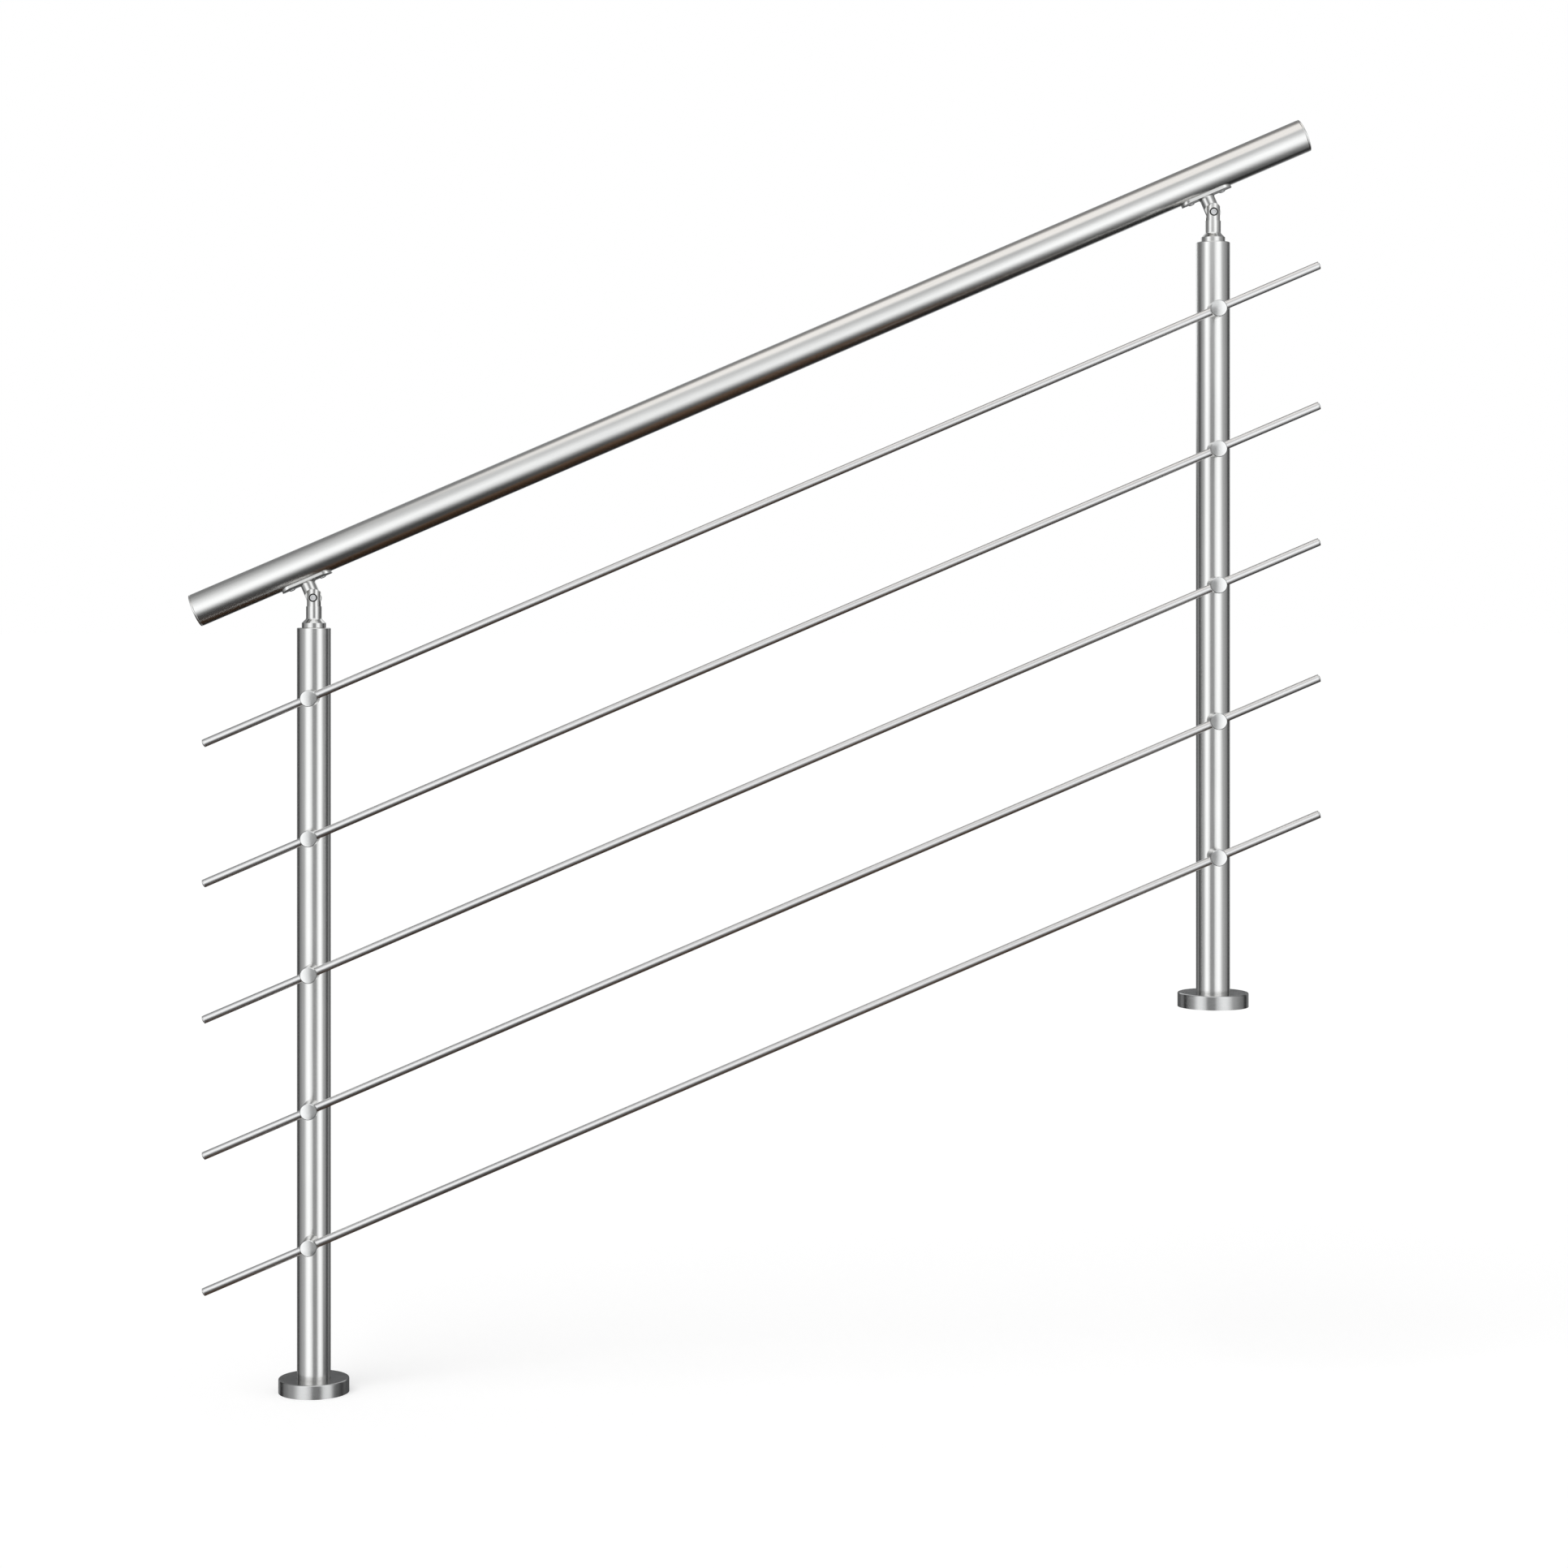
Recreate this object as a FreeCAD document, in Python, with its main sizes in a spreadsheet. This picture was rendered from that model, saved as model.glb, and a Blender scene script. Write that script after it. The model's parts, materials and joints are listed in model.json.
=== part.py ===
import FreeCAD
import Part
import Sketcher
import math
import os
import re

# A stair balustrade panel: two round posts on covered base flanges, a round handrail on two
# swivel brackets, and five round crossbars in swivel holders on the front of the posts.
# The origin is the centre of the lower post's underside. X runs level towards the upper post,
# Z is up, and the crossbars are on the minus Y side. Lengths are in millimetres, angles in degrees.

SIZES = (
    ("slope_angle", 23.2),
    ("pivot_spacing", 1220.0),
    ("tube_diameter", 42.0),
    ("tube_wall", 1.5),
    ("post_height", 952.5),
    ("plate_diameter", 80.0),
    ("plate_thickness", 6.0),
    ("plate_hole_circle", 62.0),
    ("plate_hole_diameter", 9.0),
    ("plate_hole_count", 4),
    ("cover_gap", 2.8),
    ("cover_height", 17.5),
    ("cover_wall", 1.2),
    ("cover_edge_radius", 1.5),
    ("cover_clearance", 0.2),
    ("cap_flange", 1.2),
    ("cap_chamfer", 0.8),
    ("cap_floor", 4.0),
    ("cap_boss_diameter", 14.0),
    ("plug_length", 15.0),
    ("plug_wall", 2.0),
    ("plug_clearance", 0.1),
    ("shoulder_diameter", 30.0),
    ("shoulder_height", 6.0),
    ("shoulder_chamfer", 0.4),
    ("cone_angle", 45.0),
    ("cone_root_radius", 3.3),
    ("stem_diameter", 19.3),
    ("fork_diameter", 17.9),
    ("pivot_rise", 37.5),
    ("fork_top_radius", 10.8),
    ("slot_depth", 10.8),
    ("tongue_thickness", 7.0),
    ("tongue_clearance", 0.2),
    ("knuckle_clearance", 0.3),
    ("screw_diameter", 6.0),
    ("screw_clearance", 0.1),
    ("screw_end_depth", 0.8),
    ("head_diameter", 8.0),
    ("head_thickness", 2.4),
    ("recess_width", 4.0),
    ("recess_depth", 1.6),
    ("counterbore_diameter", 10.2),
    ("counterbore_depth", 3.0),
    ("stud_diameter", 18.7),
    ("stud_root_radius", 1.6),
    ("rail_offset", 43.2),
    ("rail_diameter", 42.0),
    ("rail_wall", 1.5),
    ("rail_length", 1500.0),
    ("rail_cap_flange", 2.6),
    ("rail_cap_radius", 1.0),
    ("rail_cap_groove", 0.8),
    ("rail_cap_floor", 4.0),
    ("rail_plug_length", 20.0),
    ("rail_plug_wall", 2.0),
    ("saddle_length", 67.0),
    ("saddle_width", 22.0),
    ("saddle_thickness", 3.0),
    ("saddle_edge_radius", 0.8),
    ("saddle_screw_spacing", 41.5),
    ("saddle_screw_hole", 4.2),
    ("countersink_diameter", 8.0),
    ("countersink_angle", 90.0),
    ("bar_diameter", 10.0),
    ("bar_wall", 1.0),
    ("bar_length", 1500.0),
    ("bar_count", 5),
    ("top_bar_drop", 86.3),
    ("top_interval", 173.0),
    ("bar_interval", 168.0),
    ("bar_offset", 45.0),
    ("bar_slide", 3.0),
    ("bar_clearance", 0.1),
    ("bar_cap_rim", 1.2),
    ("bar_cap_dome", 1.4),
    ("bar_cap_groove", 0.5),
    ("bar_plug_length", 10.0),
    ("holder_diameter", 20.5),
    ("holder_front", 10.5),
    ("holder_chamfer", 0.7),
    ("holder_dome", 0.5),
    ("holder_seat", 8.0),
    ("swivel_clearance", 0.2),
    ("spigot_diameter", 8.0),
    ("spigot_length", 6.0),
    ("spigot_clearance", 0.1),
)

UP = FreeCAD.Vector(0, 0, 1)
TILT_AXIS = FreeCAD.Vector(0, -1, 0)
NODES = []

doc = FreeCAD.newDocument("StairBalustradePanel")
sheet = doc.addObject("Spreadsheet::Sheet", "Sizes")
for row, (alias, size) in enumerate(SIZES, start=1):
    sheet.set(f"A{row}", alias)
    sheet.set(f"B{row}", str(size))
    sheet.setAlias(f"B{row}", alias)
doc.recompute()

CALCULATOR = "D1"
RUN = "pivot_spacing * cos(slope_angle)"
RISE = "pivot_spacing * sin(slope_angle)"
PIVOT_HEIGHT = "(post_height + pivot_rise)"
TUBE_INSIDE = "(tube_diameter / 2 - tube_wall)"
RAIL_INSIDE = "(rail_diameter / 2 - rail_wall)"
BAR_INSIDE = "(bar_diameter / 2 - bar_wall)"
BAR_MIDDLE = "(pivot_spacing / 2 - bar_slide)"


def cells(formula):
    """Turn the size names in a formula, all words joined by underscores, into cells of the sheet."""
    return re.sub(r"[a-z]+(?:_[a-z]+)+", r"Sizes.\g<0>", formula)


def number(formula):
    """The value of a formula at the sheet's present sizes."""
    sheet.set(CALCULATOR, "=" + re.sub("Sizes[.]", "", cells(formula)))
    sheet.recompute()
    value = sheet.get(CALCULATOR)
    return float(getattr(value, "Value", value))


def new_body(label):
    body = doc.addObject("PartDesign::Body", label)
    body.Label = label
    return body


def new_sketch(body, name, role, lift="0"):
    """A sketch on one of the body's origin planes, moved off it along the plane's normal."""
    sketch = body.newObject("Sketcher::SketchObject", name)
    plane = [item for item in body.Origin.OriginFeatures if item.Role == role][0]
    sketch.AttachmentSupport = [(plane, "")]
    sketch.MapMode = "FlatFace"
    sketch.setExpression("AttachmentOffset.Base.z", cells(lift))
    return sketch


def bind(sketch, kind, *where, formula):
    """Add a dimension to a sketch and drive it with a formula."""
    index = sketch.addConstraint(Sketcher.Constraint(kind, *where, number(formula)))
    sketch.setExpression(f"Constraints[{index}]", cells(formula))


def circle(sketch, across, up, radius):
    """A dimensioned circle: centre across and up from the sketch's origin, and radius."""
    centre = FreeCAD.Vector(number(across), number(up), 0)
    index = sketch.addGeometry(Part.Circle(centre, UP, number(radius)), False)
    bind(sketch, "DistanceX", -1, 1, index, 3, formula=across)
    bind(sketch, "DistanceY", -1, 1, index, 3, formula=up)
    bind(sketch, "Radius", index, formula=radius)


def outline(sketch, corners):
    """A closed outline. Each corner is (across, up), or (across, up, (arc centre), turn) where the
    edge to the next corner is an arc, which turns left (+1) or right (-1)."""
    spots = [FreeCAD.Vector(number(corner[0]), number(corner[1]), 0) for corner in corners]
    ends = []
    for index, corner in enumerate(corners):
        start = spots[index]
        finish = spots[(index + 1) % len(corners)]
        if len(corner) == 2:
            sketch.addGeometry(Part.LineSegment(start, finish), False)
            ends.append((1, 2))
            continue
        centre = FreeCAD.Vector(number(corner[2][0]), number(corner[2][1]), 0)
        first, last = (start, finish) if corner[3] > 0 else (finish, start)
        angle_first = math.atan2(first.y - centre.y, first.x - centre.x)
        angle_last = math.atan2(last.y - centre.y, last.x - centre.x)
        if angle_last <= angle_first:
            angle_last += 2 * math.pi
        ring = Part.Circle(centre, UP, (first - centre).Length)
        sketch.addGeometry(Part.ArcOfCircle(ring, angle_first, angle_last), False)
        ends.append((1, 2) if corner[3] > 0 else (2, 1))
    for index in range(len(corners)):
        after = (index + 1) % len(corners)
        sketch.addConstraint(Sketcher.Constraint("Coincident", index, ends[index][1], after, ends[after][0]))
    for index, corner in enumerate(corners):
        bind(sketch, "DistanceX", -1, 1, index, ends[index][0], formula=corner[0])
        bind(sketch, "DistanceY", -1, 1, index, ends[index][0], formula=corner[1])
        if len(corner) == 2:
            continue
        chord = spots[(index + 1) % len(corners)] - spots[index]
        if abs(chord.x) >= abs(chord.y):
            bind(sketch, "DistanceY", -1, 1, index, 3, formula=corner[2][1])
        else:
            bind(sketch, "DistanceX", -1, 1, index, 3, formula=corner[2][0])


def pad(body, sketch, length, symmetric=False):
    feature = body.newObject("PartDesign::Pad", sketch.Name + "_pad")
    feature.Profile = sketch
    feature.setExpression("Length", cells(length))
    feature.SideType = "Symmetric" if symmetric else "One side"
    return feature


def pocket(body, sketch, length=None, backwards=False):
    """Cut a sketch through all, both ways, or to a length on one side of its plane."""
    feature = body.newObject("PartDesign::Pocket", sketch.Name + "_pocket")
    feature.Profile = sketch
    if length is None:
        feature.SideType = "Symmetric"
        feature.Type = "ThroughAll"
    else:
        feature.Reversed = backwards
        feature.setExpression("Length", cells(length))
    return feature


def revolve(body, sketch, axis):
    feature = body.newObject("PartDesign::Revolution", sketch.Name + "_turned")
    feature.Profile = sketch
    feature.ReferenceAxis = (sketch, [axis])
    feature.Angle = 360
    return feature


def round_edges(body, feature, rounding, face_radius, other_radius=None):
    """Round the edges of a feature's round faces of one radius, all of them, or else only those
    that lie against round faces of another radius."""
    wanted = round(number(face_radius), 4)
    names = []
    for index, edge in enumerate(feature.Shape.Edges, start=1):
        faces = feature.Shape.ancestorsOfType(edge, Part.Face)
        radii = [round(getattr(face.Surface, "Radius", 0), 4) for face in faces]
        if len(radii) != 2 or wanted not in radii:
            continue
        radii.remove(wanted)
        if other_radius is None or radii[0] == round(number(other_radius), 4):
            names.append(f"Edge{index}")
    fillet = body.newObject("PartDesign::Fillet", feature.Name + "_rounding")
    fillet.Base = (feature, names)
    fillet.setExpression("Radius", cells(rounding))


def place_upright(piece, post, height):
    """Set a piece on a post's axis, at a height over the post's underside."""
    along, rise = ("0", "0") if post == "lower" else (RUN, RISE)
    piece.setExpression("Placement.Base.x", cells(along))
    piece.setExpression("Placement.Base.z", cells(f"{rise} + {height}"))


def place_sloped(piece, height, along="0", above="0", half_turn=False):
    """Set a piece on the slope through a point of the lower post's axis, at a height over its
    underside: along the slope, and above it, square to it. A half turn faces it downhill."""
    piece.Placement = FreeCAD.Placement(FreeCAD.Vector(), FreeCAD.Rotation(TILT_AXIS, 1))
    turn = "slope_angle + 180" if half_turn else "slope_angle"
    piece.setExpression("Placement.Rotation.Angle", cells(turn))
    sine = "sin(slope_angle)"
    cosine = "cos(slope_angle)"
    piece.setExpression("Placement.Base.x", cells(f"({along}) * {cosine} - ({above}) * {sine}"))
    piece.setExpression("Placement.Base.z", cells(f"{height} + ({along}) * {sine} + ({above}) * {cosine}"))


def keep(piece, label):
    """List a finished sub-part, which is written under its label."""
    piece.Label = label
    NODES.append(piece)


def compound(label, pieces):
    """Like pieces of one rigid body, kept together as separate solids."""
    group = doc.addObject("Part::Compound", label)
    group.Links = pieces
    keep(group, label)


def base_plate(post):
    """The flange that is bolted down: a disc with a ring of holes around the post."""
    body = new_body(f"{post}_base_plate")
    disc = new_sketch(body, "disc", "XY_Plane")
    circle(disc, "0", "0", "plate_diameter / 2")
    pad(body, disc, "plate_thickness")
    hole = new_sketch(body, "hole", "XY_Plane")
    circle(hole, "plate_hole_circle / 2", "0", "plate_hole_diameter / 2")
    drilled = pocket(body, hole)
    doc.recompute()
    ring = body.newObject("PartDesign::PolarPattern", "hole_ring")
    ring.Originals = [drilled]
    ring.Axis = (disc, ["N_Axis"])
    ring.Angle = 360
    ring.setExpression("Occurrences", cells("plate_hole_count"))
    body.Tip = ring
    place_upright(body, post, "0")
    keep(body, f"{post}_base_plate")


def base_cover(post):
    """The pressed cover that drops over the post and hides the flange."""
    body = new_body(f"{post}_base_cover")
    section = new_sketch(body, "section", "XZ_Plane")
    neck = "tube_diameter / 2 + cover_clearance"
    inside = "plate_diameter / 2 + cover_gap"
    rim = f"{inside} + cover_wall"
    outline(section, (
        (neck, "cover_height - cover_wall"),
        (inside, "cover_height - cover_wall"),
        (inside, "0"),
        (rim, "0"),
        (rim, "cover_height - cover_edge_radius",
         (f"{rim} - cover_edge_radius", "cover_height - cover_edge_radius"), 1),
        (f"{rim} - cover_edge_radius", "cover_height"),
        (neck, "cover_height"),
    ))
    revolve(body, section, "V_Axis")
    place_upright(body, post, "0")
    keep(body, f"{post}_base_cover")


def post_tube(post):
    """The round post, from the flange up to the cap."""
    body = new_body(f"{post}_post_tube")
    ring = new_sketch(body, "ring", "XY_Plane")
    circle(ring, "0", "0", "tube_diameter / 2")
    circle(ring, "0", "0", TUBE_INSIDE)
    pad(body, ring, "post_height - cap_flange - plate_thickness")
    place_upright(body, post, "plate_thickness")
    keep(body, f"{post}_post_tube")


def post_cap(post):
    """The hollow plug that closes the post's top with a thin chamfered flange. The boss inside
    takes the fork stem's screw."""
    body = new_body(f"{post}_post_cap")
    section = new_sketch(body, "section", "XZ_Plane")
    foot = "0 - plug_length - cap_flange"
    fit = f"{TUBE_INSIDE} - plug_clearance"
    outline(section, (
        ("0", foot),
        ("cap_boss_diameter / 2", foot),
        ("cap_boss_diameter / 2", "0 - cap_floor"),
        (f"{fit} - plug_wall", "0 - cap_floor"),
        (f"{fit} - plug_wall", foot),
        (fit, foot),
        (fit, "0 - cap_flange"),
        ("tube_diameter / 2", "0 - cap_flange"),
        ("tube_diameter / 2", "0 - cap_chamfer"),
        ("tube_diameter / 2 - cap_chamfer", "0"),
        ("0", "0"),
    ))
    revolve(body, section, "V_Axis")
    place_upright(body, post, "post_height")
    keep(body, f"{post}_post_cap")


def fork_stem(post):
    """The lower half of the swivel: a turned shoulder, cone and stem, forked at the top."""
    body = new_body(f"{post}_fork_stem")
    section = new_sketch(body, "section", "XZ_Plane")
    cone_top = "(shoulder_height + (shoulder_diameter - stem_diameter) / 2 / tan(cone_angle))"
    root = "(cone_root_radius * tan(cone_angle / 2))"
    outline(section, (
        ("0", "0"),
        ("shoulder_diameter / 2 - shoulder_chamfer", "0"),
        ("shoulder_diameter / 2", "shoulder_chamfer"),
        ("shoulder_diameter / 2", "shoulder_height"),
        (f"stem_diameter / 2 + {root} * sin(cone_angle)", f"{cone_top} - {root} * cos(cone_angle)",
         ("stem_diameter / 2 + cone_root_radius", f"{cone_top} + {root}"), -1),
        ("stem_diameter / 2", f"{cone_top} + {root}"),
        ("stem_diameter / 2", "pivot_rise - slot_depth"),
        ("fork_diameter / 2", "pivot_rise - slot_depth"),
        ("fork_diameter / 2", "pivot_rise + fork_top_radius"),
        ("0", "pivot_rise + fork_top_radius"),
    ))
    revolve(body, section, "V_Axis")
    slot = new_sketch(body, "slot", "YZ_Plane")
    half_slot = "(tongue_thickness / 2 + tongue_clearance)"
    outline(slot, (
        (f"0 - {half_slot}", "pivot_rise - slot_depth"),
        (half_slot, "pivot_rise - slot_depth"),
        (half_slot, "pivot_rise + 2 * fork_top_radius"),
        (f"0 - {half_slot}", "pivot_rise + 2 * fork_top_radius"),
    ))
    pocket(body, slot)
    rounding = new_sketch(body, "rounding", "XZ_Plane")
    outline(rounding, (
        ("0 - fork_top_radius", "pivot_rise", ("0", "pivot_rise"), -1),
        ("fork_top_radius", "pivot_rise"),
        ("2 * fork_top_radius", "pivot_rise"),
        ("2 * fork_top_radius", "pivot_rise + 2 * fork_top_radius"),
        ("0 - 2 * fork_top_radius", "pivot_rise + 2 * fork_top_radius"),
        ("0 - 2 * fork_top_radius", "pivot_rise"),
    ))
    pocket(body, rounding)
    bore = new_sketch(body, "bore", "XZ_Plane")
    circle(bore, "0", "pivot_rise", "screw_diameter / 2 + screw_clearance")
    pocket(body, bore)
    counterbore = new_sketch(body, "counterbore", "XZ_Plane", "fork_diameter / 2 - counterbore_depth")
    circle(counterbore, "0", "pivot_rise", "counterbore_diameter / 2")
    pocket(body, counterbore, "2 * counterbore_depth", backwards=True)
    place_upright(body, post, "post_height")
    keep(body, f"{post}_fork_stem")


def pivot_screw(post):
    """The hex socket screw that the handrail bracket swivels on."""
    body = new_body(f"{post}_pivot_screw")
    section = new_sketch(body, "section", "XY_Plane")
    seat = "(0 - fork_diameter / 2 + counterbore_depth)"
    outline(section, (
        ("0", f"{seat} - head_thickness"),
        ("head_diameter / 2", f"{seat} - head_thickness"),
        ("head_diameter / 2", seat),
        ("screw_diameter / 2", seat),
        ("screw_diameter / 2", "fork_diameter / 2 - screw_end_depth"),
        ("0", "fork_diameter / 2 - screw_end_depth"),
    ))
    revolve(body, section, "V_Axis")
    recess = new_sketch(body, "recess", "XZ_Plane", f"0 - {seat} + head_thickness")
    corner = "recess_width / (2 * cos(30))"
    sides = 6
    outline(recess, [
        (f"{corner} * cos({60 * side})", f"{corner} * sin({60 * side})") for side in range(sides)
    ])
    pocket(body, recess, "recess_depth")
    place_upright(body, post, PIVOT_HEIGHT)
    keep(body, f"{post}_pivot_screw")


def rail_bracket(post, along):
    """The upper half of the swivel: a curved saddle under the handrail, with a round stud that
    ends in a flat tongue. Its own origin is the pivot, and its Z axis is the stud's."""
    body = new_body(f"{post}_rail_bracket")
    rail_radius = "(rail_diameter / 2)"
    saddle_radius = "(rail_diameter / 2 + saddle_thickness)"
    half_width = "(saddle_width / 2)"
    half_straight = "(saddle_length / 2 - saddle_width / 2)"
    plan = new_sketch(body, "plan", "XY_Plane", f"rail_offset - {saddle_radius}")
    outline(plan, (
        (half_straight, f"0 - {half_width}", (half_straight, "0"), 1),
        (half_straight, half_width),
        (f"0 - {half_straight}", half_width, (f"0 - {half_straight}", "0"), 1),
        (f"0 - {half_straight}", f"0 - {half_width}"),
    ))
    pad(body, plan, f"{saddle_radius} / 2")
    outside = new_sketch(body, "outside", "YZ_Plane")
    circle(outside, "0", "rail_offset", saddle_radius)
    circle(outside, "0", "rail_offset", f"2 * {saddle_radius}")
    plate = pocket(body, outside)
    doc.recompute()
    round_edges(body, plate, "saddle_edge_radius", saddle_radius)
    stud = new_sketch(body, "stud", "XY_Plane", "0 - stud_diameter / 2")
    circle(stud, "0", "0", "stud_diameter / 2")
    pad(body, stud, "stud_diameter / 2 + rail_offset")
    inside = new_sketch(body, "inside", "YZ_Plane")
    circle(inside, "0", "rail_offset", rail_radius)
    joined = pocket(body, inside)
    doc.recompute()
    round_edges(body, joined, "stud_root_radius", saddle_radius, "stud_diameter / 2")
    rounding = new_sketch(body, "rounding", "XZ_Plane")
    outline(rounding, (
        ("stud_diameter / 2", "0", ("0", "0"), -1),
        ("0 - stud_diameter / 2", "0"),
        ("0 - stud_diameter", "0"),
        ("0 - stud_diameter", "0 - stud_diameter"),
        ("stud_diameter", "0 - stud_diameter"),
        ("stud_diameter", "0"),
    ))
    pocket(body, rounding)
    for side, sign, backwards in (("front", "", True), ("rear", "0 - ", False)):
        flat = new_sketch(body, f"{side}_flat", "XZ_Plane", f"{sign}tongue_thickness / 2")
        circle(flat, "0", "0", "fork_top_radius + knuckle_clearance")
        pocket(body, flat, "stud_diameter", backwards=backwards)
    bore = new_sketch(body, "bore", "XZ_Plane")
    circle(bore, "0", "0", "screw_diameter / 2 + screw_clearance")
    pocket(body, bore)
    sink_depth = "(countersink_diameter - saddle_screw_hole) / 2 / tan(countersink_angle / 2)"
    for side, sign in (("uphill", ""), ("downhill", "0 - ")):
        hole = new_sketch(body, f"{side}_hole", "XY_Plane", f"rail_offset - {saddle_radius}")
        circle(hole, f"{sign}saddle_screw_spacing / 2", "0", "saddle_screw_hole / 2")
        pocket(body, hole, "2 * saddle_thickness", backwards=True)
        sink = body.newObject("PartDesign::SubtractiveCone", f"{side}_countersink")
        sink.AttachmentSupport = hole.AttachmentSupport
        sink.MapMode = "FlatFace"
        sink.setExpression("AttachmentOffset.Base.x", cells(f"{sign}saddle_screw_spacing / 2"))
        sink.setExpression("AttachmentOffset.Base.z", cells(f"rail_offset - {saddle_radius}"))
        sink.setExpression("Radius1", cells("countersink_diameter / 2"))
        sink.setExpression("Radius2", cells("saddle_screw_hole / 2"))
        sink.setExpression("Height", cells(sink_depth))
    place_sloped(body, PIVOT_HEIGHT, along)
    keep(body, f"{post}_rail_bracket")


def sloped_tube(label, outer, inner, length, height, middle, above, across):
    """A round tube along the slope, with its middle at a distance along it."""
    body = new_body(label)
    ring = new_sketch(body, "ring", "YZ_Plane")
    circle(ring, across, "0", outer)
    circle(ring, across, "0", inner)
    pad(body, ring, length, symmetric=True)
    place_sloped(body, height, middle, above)
    keep(body, label)


def rail_cap(end, half_turn):
    """The hollow plug that closes one end of the handrail, with a rounded flange that leaves a fine
    groove at the tube's end."""
    body = new_body(f"handrail_{end}_cap")
    section = new_sketch(body, "section", "XZ_Plane")
    fit = f"{RAIL_INSIDE} - plug_clearance"
    outline(section, (
        ("rail_cap_flange - rail_cap_floor", "0"),
        ("rail_cap_flange", "0"),
        ("rail_cap_flange", "rail_diameter / 2 - rail_cap_radius",
         ("rail_cap_flange - rail_cap_radius", "rail_diameter / 2 - rail_cap_radius"), 1),
        ("rail_cap_flange - rail_cap_radius", "rail_diameter / 2"),
        ("rail_cap_groove", "rail_diameter / 2"),
        ("0", "rail_diameter / 2 - rail_cap_groove"),
        ("0", fit),
        ("0 - rail_plug_length", fit),
        ("0 - rail_plug_length", f"{fit} - rail_plug_wall"),
        ("rail_cap_flange - rail_cap_floor", f"{fit} - rail_plug_wall"),
    ))
    revolve(body, section, "H_Axis")
    along = "(pivot_spacing - rail_length) / 2" if half_turn else "(pivot_spacing + rail_length) / 2"
    place_sloped(body, PIVOT_HEIGHT, along, "rail_offset", half_turn)
    keep(body, f"handrail_{end}_cap")


def bar_cap(label, height, half_turn):
    """The small domed plug in one end of a crossbar."""
    body = new_body(label)
    section = new_sketch(body, "section", "XZ_Plane")
    radius = "(bar_diameter / 2)"
    tip = "(bar_cap_rim + bar_cap_dome)"
    dome_centre = f"{tip} - ({radius} * {radius} + bar_cap_dome * bar_cap_dome) / (2 * bar_cap_dome)"
    outline(section, (
        ("0 - bar_plug_length", "0"),
        (tip, "0", (dome_centre, "0"), 1),
        ("bar_cap_rim", radius),
        ("bar_cap_groove", radius),
        ("0", f"{radius} - bar_cap_groove"),
        ("0", f"{BAR_INSIDE} - plug_clearance"),
        ("0 - bar_plug_length", f"{BAR_INSIDE} - plug_clearance"),
    ))
    revolve(body, section, "H_Axis")
    reach = "(bar_length / 2 - bar_cap_rim - bar_cap_dome)"
    along = f"{BAR_MIDDLE} - {reach}" if half_turn else f"{BAR_MIDDLE} + {reach}"
    place_sloped(body, height, along, "0", half_turn)
    body.setExpression("Placement.Base.y", cells("0 - bar_offset"))
    return body


def bar_holder(label, height, along):
    """The front part of a holder: a round block that turns on its seat, bored for the bar."""
    body = new_body(label)
    section = new_sketch(body, "section", "XY_Plane")
    back = "0 - tube_diameter / 2 - holder_seat - swivel_clearance"
    face = "(0 - bar_offset - holder_front)"
    rim = f"({face} + holder_dome)"
    flat = "(holder_diameter / 2 - holder_chamfer)"
    dome_centre = f"{face} + ({flat} * {flat} + holder_dome * holder_dome) / (2 * holder_dome)"
    socket = "spigot_diameter / 2 + spigot_clearance"
    socket_end = f"{back} - spigot_length"
    outline(section, (
        ("0", face, ("0", dome_centre), 1),
        (flat, rim),
        ("holder_diameter / 2", f"{rim} + holder_chamfer"),
        ("holder_diameter / 2", back),
        (socket, back),
        (socket, socket_end),
        ("0", socket_end),
    ))
    revolve(body, section, "V_Axis")
    bore = new_sketch(body, "bore", "YZ_Plane")
    circle(bore, "0 - bar_offset", "0", "bar_diameter / 2 + bar_clearance")
    pocket(body, bore)
    place_sloped(body, height, along)
    keep(body, label)


def holder_seat(label, post, height):
    """The part of a holder that is screwed to the post: hollowed to fit the tube, and flat in
    front with a round spigot that the block turns on."""
    body = new_body(label)
    disc = new_sketch(body, "disc", "XZ_Plane")
    circle(disc, "0", "0", "holder_diameter / 2")
    pad(body, disc, "tube_diameter / 2 + holder_seat")
    spigot = new_sketch(body, "spigot", "XZ_Plane")
    circle(spigot, "0", "0", "spigot_diameter / 2")
    pad(body, spigot, "tube_diameter / 2 + holder_seat + spigot_length")
    hollow = new_sketch(body, "hollow", "XY_Plane")
    circle(hollow, "0", "0", "tube_diameter / 2")
    pocket(body, hollow)
    place_upright(body, post, height)
    return body


bar_total = int(number("bar_count"))
top_bar = "post_height - top_bar_drop"
bar_heights = [f"({top_bar} - top_interval - {step} * bar_interval)" for step in range(bar_total - 1)]
bar_heights = bar_heights[::-1] + [f"({top_bar})"]

for post, along in (("lower", "0"), ("upper", "pivot_spacing")):
    base_plate(post)
    base_cover(post)
    post_tube(post)
    post_cap(post)
    fork_stem(post)
    pivot_screw(post)
    rail_bracket(post, along)
    compound(f"{post}_holder_seats", [
        holder_seat(f"{post}_holder_seat_{step}", post, height)
        for step, height in enumerate(bar_heights, start=1)
    ])

sloped_tube("handrail_tube", "rail_diameter / 2", RAIL_INSIDE, "rail_length",
            PIVOT_HEIGHT, "pivot_spacing / 2", "rail_offset", "0")
rail_cap("lower", True)
rail_cap("upper", False)

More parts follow.
